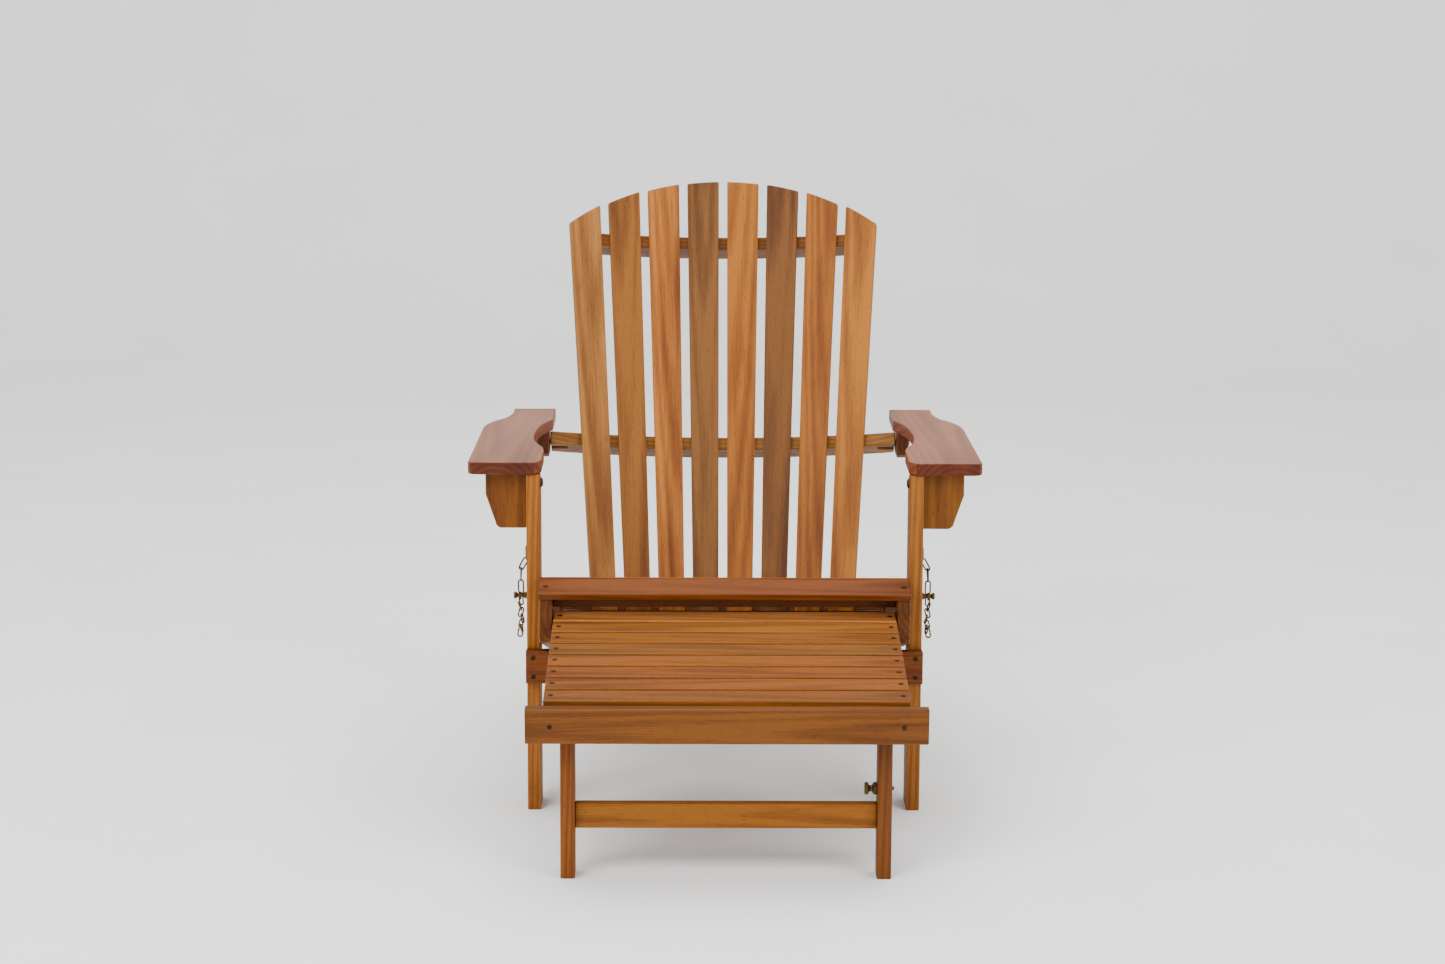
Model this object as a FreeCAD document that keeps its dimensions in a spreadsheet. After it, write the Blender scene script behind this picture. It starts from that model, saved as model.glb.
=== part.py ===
import FreeCAD, Part
import Sketcher
import math
import os

# A folding garden armchair of oiled hardwood with a fan-shaped slatted back and a
# pull-out leg rest. Frame: +X to the sitter's left-hand side as seen from the front,
# +Y to the rear, +Z up, origin on the ground under the middle of the whole chair.
# Side profiles are drawn from the front face of the front legs (y = 0 there), and
# leg_face_y moves them to the chair's origin.

SIZES = {
    # the whole chair
    "leg_face_y": -199.7,           # front face of the front legs, from the origin
    "edge_round": 2.0,              # eased edge on every board
    "slat_thick": 12.0,
    "fit_gap": 0.1,                 # radial clearance of a turning fit
    "side_gap": 0.5,                # space between boards that slide past each other
    # side rails and seat
    "side_inner_x": 249.5,
    "side_thick": 18.5,
    "side_depth": 84.0,
    "seat_tilt": 15.0,
    "seat_edge_y": -10.4,           # where the seat line meets the front slat
    "seat_edge_z": 340.8,
    "nose_tilt": 19.0,
    "nose_width": 43.0,
    "nose_thick": 11.0,
    "nose_length": 538.0,
    "seat_slat_length": 534.0,
    "seat_slat_width": 44.0,
    "seat_slat_pitch": 51.0,
    "seat_slat_count": 5,
    "seat_screw_x": 258.5,
    "brace_length": 498.9,
    "brace_thick": 18.0,
    "front_brace_height": 26.0,
    "rear_brace_height": 50.0,
    # front legs
    "leg_inner_x": 268.5,
    "leg_thick": 19.5,
    "leg_depth": 66.0,
    "leg_top_z": 501.5,
    "lock_z": 316.0,
    "arm_pivot_z": 484.0,
    "crossbar_length": 578.0,
    "crossbar_height": 49.0,
    "crossbar_thick": 18.0,
    "crossbar_top_z": 244.0,
    # arms
    "arm_under_z": 502.0,
    "arm_thick": 18.0,
    "bracket_thick": 20.0,
    "cleat_thick": 18.0,
    # back
    "back_tilt": 25.0,
    "back_pivot_y": 304.0,
    "back_pivot_z": 236.0,
    "back_curve": 1000.0,
    "back_slat_count": 8,
    "back_gap": 13.8,
    "back_half_width": 203.7,       # outer edge of the fan at the pivot's height
    "back_spread": 0.0658,          # how much the half width grows per millimetre
    "back_foot": -12.0,             # along the back, from the pivot
    "back_crown": 691.2,
    "crown_radius": 437.0,
    "slat_rear_offset": -8.6,
    "slat_seat_gap": 0.6,           # flat slats stand this far off the curved rails
    "batten_depth": 50.0,
    "batten_thick": 20.0,
    "top_batten_at": 581.8,
    "arm_rail_at": 252.0,
    "arm_rail_half": 268.0,
    "top_batten_half": 236.0,
    "lower_rail_half": 249.1,
    # leg rest
    "rest_tilt": 6.0,
    "rest_hinge_y": -9.0,
    "rest_hinge_z": 236.0,
    "rest_rail_under": 10.8,
    "rest_rail_height": 42.0,
    "rest_rail_thick": 16.5,
    "rest_rail_outer_x": 247.5,
    "rest_rail_front": -370.0,
    "rest_rail_rear": 45.0,
    "rest_slat_length": 496.0,
    "rest_slat_width": 41.5,
    "rest_slat_pitch": 47.7,
    "rest_slat_count": 8,
    "rest_board_length": 544.0,
    "rest_board_height": 49.2,
    "rest_board_thick": 18.0,
    "rest_brace_length": 461.8,
    "rest_brace_height": 42.0,
    "rest_brace_middle": 35.5,
    "rest_travel": 275.0,
    "rest_swing": 21.0,
    "rest_screw_x": 238.5,
    "rest_leg_outer_x": 227.0,
    "rest_leg_thick": 20.0,
    "rest_leg_depth": 40.0,
    "rest_leg_pivot_y": -321.0,
    "rest_leg_pivot_z": 234.4,
    "rest_bar_length": 414.0,
    "rest_bar_height": 35.0,
    "rest_bar_thick": 18.0,
    "rest_bar_z": 86.5,
    "rest_pin_z": 124.0,
    # metal
    "bolt_radius": 4.0,
    "bolt_head_radius": 7.0,
    "bolt_head_high": 3.5,
    "pin_radius": 3.0,
    "pin_flange_radius": 6.5,
    "pin_flange_high": 5.0,
    "pin_neck_radius": 3.5,
    "pin_head_high": 20.0,
    "rest_pin_flange_radius": 8.5,
    "rest_pin_flange_high": 6.0,
    "rest_pin_neck_radius": 4.5,
    "rest_pin_head_high": 17.0,
    "screw_shank_radius": 2.2,
    "screw_hole_radius": 2.3,
    "screw_head_radius": 4.0,
    "screw_head_high": 1.0,
    "link_wire": 1.0,
    "link_long": 10.0,              # half length of a link along its wire's middle
    "link_half_width": 3.5,
    "link_pitch": 17.8,
    "eye_radius": 5.0,
    "eye_wire": 1.2,
    "eye_stand_off": 9.0,
    "eye_z": 384.0,
    "chain_drop": 18.2,             # from the pin down to the first hanging links
}

doc = FreeCAD.newDocument("Chair")
sheet = doc.addObject("Spreadsheet::Sheet", "Sizes")
for row, (alias, number) in enumerate(SIZES.items(), start=1):
    sheet.set("A%d" % row, alias.replace("_", " "))
    sheet.set("B%d" % row, str(number))
    sheet.setAlias("B%d" % row, alias)
doc.recompute()

NODES = []


def size(alias):
    """The number in the sheet's cell of that name."""
    return float(getattr(sheet, alias))


def vector(*xyz):
    return FreeCAD.Vector(*xyz)


def turn(point, centre, degrees):
    """A (y, z) point turned about a centre, from +Y towards +Z."""
    angle = math.radians(degrees)
    y, z = point[0] - centre[0], point[1] - centre[1]
    return (centre[0] + y * math.cos(angle) - z * math.sin(angle),
            centre[1] + y * math.sin(angle) + z * math.cos(angle))


def world(x, y, z):
    """A point given from the front legs' face, in the chair's own frame."""
    return vector(x, y + size("leg_face_y"), z)


def axes(origin, along, across):
    """A placement whose local X runs along and local Y runs across."""
    along = vector(*along)
    across = vector(*across)
    return FreeCAD.Placement(origin, FreeCAD.Rotation(along, across, along.cross(across), "ZXY"))


def side_plane(x):
    """Local X is the chair's Y, local Y is its Z, and thickness grows along +X."""
    return axes(world(x, 0, 0), (0, 1, 0), (0, 0, 1))


# ---------------------------------------------------------------- board making

def new_sketch(body, name):
    """A sketch on the body's own XY plane."""
    sketch = body.newObject("Sketcher::SketchObject", name)
    plane = [item for item in body.Origin.OriginFeatures if item.Role == "XY_Plane"][0]
    sketch.AttachmentSupport = (plane, [""])
    sketch.MapMode = "FlatFace"
    return sketch


def draw_outline(sketch, steps):
    """A closed outline: a step of one point is a straight run, of two points an arc
    through the first to the second. It starts where the last step ends."""
    start = vector(*steps[-1][-1], 0)
    for step in steps:
        end = vector(*step[-1], 0)
        if len(step) == 1:
            sketch.addGeometry(Part.LineSegment(start, end), False)
        else:
            sketch.addGeometry(Part.Arc(start, vector(*step[0], 0), end), False)
        start = end


def draw_rectangle(sketch, length, width):
    """A rectangle centred on the sketch's origin, its sides bound to two cells."""
    half_length, half_width = size(length) / 2, size(width) / 2
    draw_outline(sketch, [[(half_length, -half_width)], [(half_length, half_width)],
                          [(-half_length, half_width)], [(-half_length, -half_width)]])
    for edge in range(4):
        following = (edge + 1) % 4
        sketch.addConstraint(Sketcher.Constraint("Coincident", edge, 2, following, 1))
    for edge, way in enumerate(("Horizontal", "Vertical", "Horizontal", "Vertical")):
        sketch.addConstraint(Sketcher.Constraint(way, edge))
    sketch.addConstraint(Sketcher.Constraint("Symmetric", 0, 1, 2, 1, -1, 1))
    long_way = sketch.addConstraint(Sketcher.Constraint("Distance", 0, half_length * 2))
    sketch.setExpression("Constraints[%d]" % long_way, "Sizes." + length)
    wide_way = sketch.addConstraint(Sketcher.Constraint("Distance", 1, half_width * 2))
    sketch.setExpression("Constraints[%d]" % wide_way, "Sizes." + width)


def draw_holes(sketch, holes):
    """Round holes, each (x, y, expression of its radius)."""
    for x, y, radius in holes:
        value = size(radius.split("+")[0].strip())
        hole = sketch.addGeometry(Part.Circle(vector(x, y, 0), vector(0, 0, 1), value), False)
        rule = sketch.addConstraint(Sketcher.Constraint("Radius", hole, value))
        bound = " + ".join("Sizes." + word.strip() for word in radius.split("+"))
        sketch.setExpression("Constraints[%d]" % rule, bound)


def board(label, outline, thick, placement, holes=(), groove=None):
    """One board: an outline or a (length, width) pair of cells padded to its thickness,
    with through holes, eased edges and, where it has one, a groove in its local XY face."""
    body = doc.addObject("PartDesign::Body", label)
    body.Label = label
    sketch = new_sketch(body, label + "_outline")
    if isinstance(outline[0], str):
        draw_rectangle(sketch, *outline)
    else:
        draw_outline(sketch, outline)
    draw_holes(sketch, holes)
    pad = body.newObject("PartDesign::Pad", label + "_pad")
    pad.Profile = sketch
    pad.setExpression("Length", "Sizes." + thick)
    sketch.Visibility = False
    doc.recompute()
    edges = ["Edge%d" % number for number, edge in enumerate(pad.Shape.Edges, start=1)
             if not edge.isClosed()]
    fillet = body.newObject("PartDesign::Fillet", label + "_round")
    fillet.Base = (pad, edges)
    fillet.setExpression("Radius", "Sizes.edge_round")
    body.Tip = fillet
    doc.recompute()
    if groove:
        steps, depth = groove
        slot = new_sketch(body, label + "_slot")
        draw_outline(slot, steps)
        pocket = body.newObject("PartDesign::Pocket", label + "_groove")
        pocket.Profile = slot
        pocket.Length = depth
        pocket.Reversed = True
        body.Tip = pocket
        doc.recompute()
        if pocket.Shape.Volume > fillet.Shape.Volume - 100:
            raise RuntimeError(label + ": the groove cut nothing")
    body.Placement = placement
    NODES.append(body)
    return body


def mirrored_pair(name, make):
    """The same piece on both sides: make(label, side) with side -1 then +1."""
    for word, side in (("right", -1), ("left", 1)):
        make(name + "_" + word, side)


# ---------------------------------------------------------------- metal making

def turned(origin, direction, profile):
    """A solid turned about a line: profile is (distance along the line, radius) points."""
    points = [vector(along, radius, 0) for along, radius in profile]
    points = [vector(profile[0][0], 0, 0)] + points + [vector(profile[-1][0], 0, 0)]
    face = Part.Face(Part.makePolygon(points + [points[0]]))
    solid = face.revolve(vector(0, 0, 0), vector(1, 0, 0), 360)
    solid.Placement = FreeCAD.Placement(origin, FreeCAD.Rotation(vector(1, 0, 0), direction))
    return solid


def group(label, solids):
    """Several like pieces in one node."""
    feature = doc.addObject("Part::Feature", label)
    feature.Label = label
    feature.Shape = Part.makeCompound(solids)
    NODES.append(feature)
    return feature


def screw(surface, outward, depth):
    """A wood screw: its head stands on the surface, its shank runs inwards."""
    head, shank = size("screw_head_radius"), size("screw_shank_radius")
    high = size("screw_head_high")
    return turned(surface, outward, [(-depth, shank), (0, shank), (0, head),
                                     (high * 0.5, head), (high, head * 0.7)])


def bolt(origin, direction, length, head=True, washers=()):
    """A plain bolt: its head ends at the origin and its shank runs along the direction.
    Each washer is (start, end, radius) along the shank."""
    radius, head_radius = size("bolt_radius"), size("bolt_head_radius")
    high = size("bolt_head_high")
    profile = []
    if head:
        profile += [(-high, head_radius * 0.6), (-high * 0.5, head_radius), (0, head_radius)]
    profile += [(0, radius)]
    for start, end, wide in washers:
        profile += [(start, radius), (start, wide), (end, wide), (end, radius)]
    profile += [(length, radius)]
    return turned(origin, direction, profile)


# ---------------------------------------------------------------- side rails and seat

def seat_line(distance, height=0.0):
    """A (y, z) point at a distance down the seat line and a height above it."""
    tilt = math.radians(size("seat_tilt"))
    return (size("seat_edge_y") + distance * math.cos(tilt) + height * math.sin(tilt),
            size("seat_edge_z") - distance * math.sin(tilt) + height * math.cos(tilt))


def guide_slot():
    """The short curved slot that the guide bolt follows about the crossbar's top."""
    centre = (size("rest_hinge_y"), size("rest_hinge_z"))
    start = rest_line(30.0, 31.8)
    reach = math.dist(start, centre)
    high = math.degrees(math.atan2(start[1] - centre[1], start[0] - centre[0])) + 7.0
    low = high - size("rest_swing") - 14.0
    middle = (high + low) / 2
    half = size("bolt_radius") + 0.5

    def at(radius, degrees):
        return turn((centre[0] + radius, centre[1]), centre, degrees)

    return [[at(reach - half, low)], [at(reach - half, middle), at(reach - half, high)],
            [at(reach + half, high)], [at(reach + half, middle), at(reach + half, low)]]


def side_rail(label, side):
    """A side rail: seat line on top, cut corner in front, a bend behind the seat and a
    flat foot on the ground."""
    nose = math.radians(size("nose_tilt"))
    front = (size("seat_edge_y") - 37.0, size("seat_edge_z") - 37.0 * math.tan(nose))
    depth = size("side_depth")
    outline = [[front], [(front[0], 270.0)], [seat_line(-14.0, -depth)],
               [seat_line(358.0, -depth)], [(695.0, 0.0)], [(800.0, 0.0)], [(800.0, 43.0)],
               [seat_line(368.0)], [(size("seat_edge_y"), size("seat_edge_z"))]]
    pivots = [(size("leg_depth") / 2, size("lock_z"), "pin_radius + fit_gap"),
              (size("back_pivot_y"), size("back_pivot_z"), "bolt_radius + fit_gap")]
    slot = guide_slot()
    if side > 0:
        board(label, outline, "side_thick", side_plane(size("side_inner_x")), pivots, (slot, 7.5))
        return
    # the other rail is drawn facing the other way, so that its slot is on the inside too
    mirror = axes(world(-size("side_inner_x"), 0, 0), (0, -1, 0), (0, 0, 1))
    flipped = [[(-y, z) for y, z in step] for step in outline]
    holes = [(-y, z, radius) for y, z, radius in pivots]
    board(label, flipped, "side_thick", mirror, holes,
          ([[(-y, z) for y, z in step] for step in slot], 7.5))


def seat():
    """Side rails, the nosing slat, the flat seat slats, two braces and their screws."""
    mirrored_pair("side_rail", side_rail)
    screws = []
    screw_x = size("seat_screw_x")
    nose = math.radians(size("nose_tilt"))
    forward = vector(0, -math.cos(nose), -math.sin(nose))
    upward = vector(0, -math.sin(nose), math.cos(nose))
    start = world(0, size("seat_edge_y"), size("seat_edge_z"))
    middle = start + forward * (size("nose_width") / 2)
    ends = [(-screw_x, 0, "screw_hole_radius"), (screw_x, 0, "screw_hole_radius")]
    board("seat_nose_slat", ("nose_length", "nose_width"), "nose_thick",
          axes(middle, (1, 0, 0), tuple(forward * -1)), ends)
    for x in (-screw_x, screw_x):
        top = middle + vector(x, 0, 0) + upward * size("nose_thick")
        screws.append(screw(top, upward, size("nose_thick")))
    tilt = math.radians(size("seat_tilt"))
    rearward = (0, math.cos(tilt), -math.sin(tilt))
    up = vector(0, math.sin(tilt), math.cos(tilt))
    for number in range(int(size("seat_slat_count"))):
        place = 8.0 + number * size("seat_slat_pitch") + size("seat_slat_width") / 2
        y, z = seat_line(place)
        board("seat_slat_%d" % (number + 1), ("seat_slat_length", "seat_slat_width"),
              "slat_thick", axes(world(0, y, z), (1, 0, 0), rearward), ends)
        for x in (-screw_x, screw_x):
            top = world(x, y, z) + up * size("slat_thick")
            screws.append(screw(top, up, size("slat_thick")))
    board("seat_front_brace", ("brace_length", "front_brace_height"), "brace_thick",
          axes(world(0, 23.0, 317.8), (1, 0, 0), (0, 0, 1)))
    board("seat_rear_brace", ("brace_length", "rear_brace_height"), "brace_thick",
          axes(world(0, 578.0, 100.0), (1, 0, 0), (0, 0, 1)))
    outer = size("side_inner_x") + size("side_thick")
    for side in (-1, 1):
        for z in (88.0, 112.0):
            screws.append(screw(world(side * outer, 569.0, z), vector(side, 0, 0), 0.0))
    group("seat_screws", screws)


# ---------------------------------------------------------------- front legs

def front_leg(label, side):
    """A front leg: square foot, bores for the lock pin and the arm bolt, and a top that is
    cut away behind so that it turns under the arm."""
    depth, top = size("leg_depth"), size("leg_top_z")
    outline = [[(0.0, 0.0)], [(depth, 0.0)], [(depth, top - 21.5)], [(depth * 0.54, top)],
               [(0.0, top)]]
    bores = [(depth / 2, size("lock_z"), "pin_radius + fit_gap"),
             (depth / 2, size("arm_pivot_z"), "bolt_radius + fit_gap")]
    inner = size("leg_inner_x")
    x = inner if side > 0 else -inner - size("leg_thick")
    board(label, outline, "leg_thick", side_plane(x), bores)


def legs():
    """Both front legs with the crossbar across their fronts."""
    mirrored_pair("front_leg", front_leg)
    screw_x = size("leg_inner_x") + size("leg_thick") / 2
    middle_z = size("crossbar_top_z") - size("crossbar_height") / 2
    places = [(x, dz) for x in (-screw_x, screw_x) for dz in (-14.0, 14.0)]
    holes = [(x, dz, "screw_hole_radius") for x, dz in places]
    board("front_crossbar", ("crossbar_length", "crossbar_height"), "crossbar_thick",
          axes(world(0, 0, middle_z), (1, 0, 0), (0, 0, 1)), holes)
    front = -size("crossbar_thick")
    group("crossbar_screws", [screw(world(x, front, middle_z + dz), vector(0, -1, 0),
                                    size("crossbar_thick")) for x, dz in places])


# ---------------------------------------------------------------- arms

def arm_outline(side):
    """The arm from above, (x, y) from the leg's face: a broad paddle in front, a waist on
    the inside and a narrow tail that sweeps in behind."""
    points = [[(276.0, -6.0)], [(360.0, -6.0)], [(369.0, -2.0), (372.0, 8.0)],
              [(368.0, 298.0)], [(360.0, 345.0), (341.0, 386.0)], [(331.0, 430.0), (330.0, 480.0)],
              [(264.0, 482.0)], [(264.0, 376.0)], [(278.0, 330.0), (285.0, 270.0)],
              [(286.0, 215.0), (280.0, 162.0)], [(270.0, 130.0), (266.0, 96.0)], [(266.0, 14.0)]]
    return [[(side * x, y) for x, y in step] for step in points]


def bracket_outline(side):
    """The bracket beside the leg, (x, z): straight above, raked below, round at its foot."""
    inner = size("leg_inner_x") + size("leg_thick") + size("side_gap")
    top = size("arm_under_z")
    points = [[(inner, 418.0)], [(inner, top)], [(348.0, top)], [(348.0, 468.0)],
              [(334.0, 427.0)], [(330.0, 420.0), (322.0, 418.0)]]
    return [[(side * x, z) for x, z in step] for step in points]


def arm(side, word):
    """One arm with its bracket, the cleat under its tail and its two pivot bolts."""
    half_depth = size("leg_depth") / 2
    under = size("arm_under_z")
    board("arm_" + word, arm_outline(side), "arm_thick",
          axes(world(0, 0, under), (1, 0, 0), (0, 1, 0)))
    bracket_face = half_depth + size("bracket_thick") / 2
    board("arm_bracket_" + word, bracket_outline(side), "bracket_thick",
          axes(world(0, bracket_face, 0), (1, 0, 0), (0, 0, 1)))
    pivot = arm_rail_pivot()
    cleat = size("arm_rail_half") + 2.0
    x = cleat if side > 0 else -cleat - size("cleat_thick")
    y, z = pivot
    outline = [[(y - 34.0, z - 14.0)], [(y - 24.0, z - 20.0)], [(y + 24.0, z - 20.0)],
               [(y + 34.0, z - 14.0)], [(y + 34.0, under)], [(y - 34.0, under)]]
    board("arm_cleat_" + word, outline, "cleat_thick", side_plane(x),
          [(y, z, "bolt_radius + fit_gap")])
    outward = vector(side, 0, 0)
    inner = size("leg_inner_x") - 0.3
    front_reach = size("leg_thick") + size("side_gap") + 0.3
    front = bolt(world(side * inner, half_depth, size("arm_pivot_z")), outward, front_reach)
    outer = cleat + size("cleat_thick")
    rear = bolt(world(side * outer, y, z), outward * -1, size("cleat_thick") + 22.0)
    group("arm_bolts_" + word, [front, rear])


# ---------------------------------------------------------------- back

def back_line(along, behind):
    """A (y, z) point at a distance up the back and a depth behind its pivot line."""
    tilt = math.radians(size("back_tilt"))
    return (size("back_pivot_y") + along * math.sin(tilt) + behind * math.cos(tilt),
            size("back_pivot_z") + along * math.cos(tilt) - behind * math.sin(tilt))


def hollow(x):
    """How far forward of the middle the back's curve stands at x."""
    curve = size("back_curve")
    return curve - math.sqrt(curve ** 2 - x ** 2)


def arm_rail_pivot():
    """Where the arm's rear bolt meets the end of the arm rail."""
    behind = size("slat_rear_offset") - hollow(size("arm_rail_half")) + size("batten_depth") / 2
    return back_line(size("arm_rail_at") + size("batten_thick") / 2, behind)


def half_width(along):
    return size("back_half_width") + size("back_spread") * along


def slat_width(along):
    count = size("back_slat_count")
    return (2 * half_width(along) - (count - 1) * size("back_gap")) / count


def slat_left(number, along):
    """The left edge of a slat, at a distance up the back."""
    return -half_width(along) + number * (slat_width(along) + size("back_gap"))


def crown_height(x):
    """The height of the arched top at x, measured up the back."""
    radius = size("crown_radius")
    return size("back_crown") - radius + math.sqrt(radius ** 2 - x ** 2)


def back_slat(number):
    """One tapered slat of the fan, set tangent to the back's curve, its top on the arch."""
    foot, crown = size("back_foot"), size("back_crown")
    low = slat_left(number, foot) + slat_width(foot) / 2
    high = slat_left(number, crown) + slat_width(crown) / 2
    rear = size("slat_rear_offset") - size("slat_seat_gap")
    start = world(low, *back_line(foot, rear - hollow(low)))
    end = world(high, *back_line(crown, rear - hollow(high)))
    rise = (end - start)
    length = rise.Length
    rise.normalize()
    tilt = math.radians(size("back_tilt"))
    turned_by = math.asin((low + high) / 2 / size("back_curve"))
    across = vector(math.cos(turned_by), -math.sin(turned_by) * math.cos(tilt),
                    math.sin(turned_by) * math.sin(tilt))
    across = (across - rise * across.dot(rise))
    across.normalize()
    half_foot, half_crown = slat_width(foot) / 2, slat_width(crown) / 2

    def arch(offset):
        return length - (crown - crown_height(high + offset))

    outline = [[(half_foot, 0.0)], [(half_crown, arch(half_crown))],
               [(0.0, arch(0.0)), (-half_crown, arch(-half_crown))], [(-half_foot, 0.0)]]
    placement = axes(start, tuple(across), tuple(rise))
    board("back_slat_%d" % (number + 1), outline, "slat_thick", placement)


def curved_rail(label, at, half, fork=False):
    """A board lying square to the slats, its front and rear edges curved alike. With a
    fork, each end has an open slot that leaves room for the arm's bolt."""
    front = size("slat_rear_offset")
    depth = size("batten_depth")
    ahead = front - hollow(half)
    outline = [[(0.0, front), (half, ahead)]]
    if fork:
        middle, wide, deep = ahead + depth / 2, 7.0, 26.0
        outline += [[(half, middle - wide)], [(half - deep, middle - wide)],
                    [(half - deep, middle + wide)], [(half, middle + wide)]]
    outline += [[(half, ahead + depth)], [(0.0, front + depth), (-half, ahead + depth)]]
    if fork:
        outline += [[(-half, middle + wide)], [(-half + deep, middle + wide)],
                    [(-half + deep, middle - wide)], [(-half, middle - wide)]]
    outline += [[(-half, ahead)]]
    tilt = math.radians(size("back_tilt"))
    origin = world(0, *back_line(at, 0.0))
    rearward = (0, math.cos(tilt), -math.sin(tilt))
    return board(label, outline, "batten_thick", axes(origin, (1, 0, 0), rearward))


def back():
    """The fan of slats on its three curved rails, its screws and its pivot bolts."""
    for number in range(int(size("back_slat_count"))):
        back_slat(number)
    curved_rail("back_top_batten", size("top_batten_at"), size("top_batten_half"))
    curved_rail("back_arm_rail", size("arm_rail_at"), size("arm_rail_half"), fork=True)
    curved_rail("back_lower_rail", -size("batten_thick") / 2, size("lower_rail_half"))
    tilt = math.radians(size("back_tilt"))
    screws = []
    for at in (size("top_batten_at"), size("arm_rail_at"), -size("batten_thick") / 2):
        along = at + size("batten_thick") / 2
        for number in range(int(size("back_slat_count"))):
            x = slat_left(number, along) + slat_width(along) / 2
            reach = math.asin(x / size("back_curve"))
            behind = size("slat_rear_offset") + size("batten_depth") - hollow(x)
            outward = vector(math.sin(reach), math.cos(reach) * math.cos(tilt),
                             -math.cos(reach) * math.sin(tilt))
            screws.append(screw(world(x, *back_line(along, behind)) + outward * 0.1, outward, 0.0))
    group("back_screws", screws)
    outer = size("side_inner_x") + size("side_thick") + 0.4
    reach = outer - size("lower_rail_half")
    pivot = (size("back_pivot_y"), size("back_pivot_z"))
    group("back_pivot_bolts", [bolt(world(side * outer, *pivot), vector(-side, 0, 0), reach)
                               for side in (-1, 1)])


# ---------------------------------------------------------------- leg rest

def rest_line(along, up):
    """A (y, z) point along the leg rest (rearwards) and up from its turning line."""
    hinge = (size("rest_hinge_y"), size("rest_hinge_z"))
    return turn((hinge[0] + along, hinge[1] + up), hinge, size("rest_tilt"))


def rest_rail(label, side):
    """A rail of the leg rest, with the long groove that slides over its guide bolt."""
    front, rear = size("rest_rail_front"), size("rest_rail_rear")
    under = size("rest_rail_under")
    top = under + size("rest_rail_height")
    outline = [[(rear - 16.0, under)], [(rear, under + 16.0)], [(rear, top)], [(front, top)],
               [(front, under)]]
    start, end = 30.0 - size("rest_travel") - 6.0, 36.0
    middle, half = 31.8, size("bolt_radius") + 0.4
    slot = [[(end, middle - half)], [(end, middle + half)], [(start, middle + half)],
            [(start, middle - half)]]
    tilt = math.radians(size("rest_tilt"))
    origin = world(side * size("rest_rail_outer_x"), size("rest_hinge_y"), size("rest_hinge_z"))
    if side < 0:
        place = axes(origin, (0, math.cos(tilt), math.sin(tilt)), (0, -math.sin(tilt), math.cos(tilt)))
        board(label, outline, "rest_rail_thick", place, (), (slot, 7.0))
        return
    place = axes(origin, (0, -math.cos(tilt), -math.sin(tilt)), (0, -math.sin(tilt), math.cos(tilt)))
    board(label, [[(-y, z) for y, z in step] for step in outline], "rest_rail_thick", place, (),
          ([[(-y, z) for y, z in step] for step in slot], 7.0))


def leg_rest():
    """Rails, slats, front board, rear brace, screws and the leg bolts of the leg rest."""
    mirrored_pair("rest_rail", rest_rail)
    tilt = math.radians(size("rest_tilt"))
    rearward = vector(0, math.cos(tilt), math.sin(tilt))
    up = vector(0, -math.sin(tilt), math.cos(tilt))
    top = size("rest_rail_under") + size("rest_rail_height")
    thick = size("slat_thick")
    screw_x = size("rest_screw_x")
    ends = [(-screw_x, 0, "screw_hole_radius"), (screw_x, 0, "screw_hole_radius")]
    screws = []
    for number in range(int(size("rest_slat_count"))):
        place = 8.0 - number * size("rest_slat_pitch") - size("rest_slat_width") / 2
        origin = world(0, *rest_line(place, top))
        board("rest_slat_%d" % (number + 1), ("rest_slat_length", "rest_slat_width"),
              "slat_thick", axes(origin, (1, 0, 0), tuple(rearward)), ends)
        for x in (-screw_x, screw_x):
            screws.append(screw(origin + vector(x, 0, 0) + up * thick, up, thick))
    front = size("rest_rail_front")
    board_thick = size("rest_board_thick")
    origin = world(0, *rest_line(front, 34.3))
    board("rest_front_board", ("rest_board_length", "rest_board_height"), "rest_board_thick",
          axes(origin, (1, 0, 0), tuple(up)), ends)
    for x in (-screw_x, screw_x):
        face = origin + vector(x, 0, 0) - rearward * board_thick
        screws.append(screw(face, rearward * -1, board_thick))
    board("rest_rear_brace", ("rest_brace_length", "rest_brace_height"), "brace_thick",
          axes(world(0, *rest_line(38.0, size("rest_brace_middle"))), (1, 0, 0), tuple(up)))
    group("rest_screws", screws)
    inner = size("rest_leg_outer_x") - size("rest_leg_thick") - 0.3
    reach = size("rest_rail_outer_x") - size("rest_rail_thick") - inner
    washer = [(size("rest_leg_thick") + 0.6, reach - 0.3, 9.0)]
    pivot = (size("rest_leg_pivot_y"), size("rest_leg_pivot_z"))
    group("rest_leg_bolts", [bolt(world(side * inner, *pivot), vector(side, 0, 0), reach,
                                  washers=washer) for side in (-1, 1)])


def rest_leg(label, side):
    """A leg of the leg rest, rounded above its pivot, with a bore for the pin that parks it."""
    half = size("rest_leg_depth") / 2
    y, z = size("rest_leg_pivot_y"), size("rest_leg_pivot_z")
    outline = [[(y - half, 0.0)], [(y + half, 0.0)], [(y + half, z)],
               [(y, z + half), (y - half, z)]]
    bores = [(y, z, "bolt_radius + fit_gap"), (y, size("rest_pin_z"), "pin_radius + fit_gap")]
    outer = size("rest_leg_outer_x")
    x = outer - size("rest_leg_thick") if side > 0 else -outer
    board(label, outline, "rest_leg_thick", side_plane(x), bores)


def rest_legs():
    """The two legs of the leg rest and the bar between them."""
    mirrored_pair("rest_leg", rest_leg)
    face = size("rest_leg_pivot_y") + size("rest_bar_thick") / 2
    board("rest_leg_bar", ("rest_bar_length", "rest_bar_height"), "rest_bar_thick",
          axes(world(0, face, size("rest_bar_z")), (1, 0, 0), (0, 0, 1)))


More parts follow.
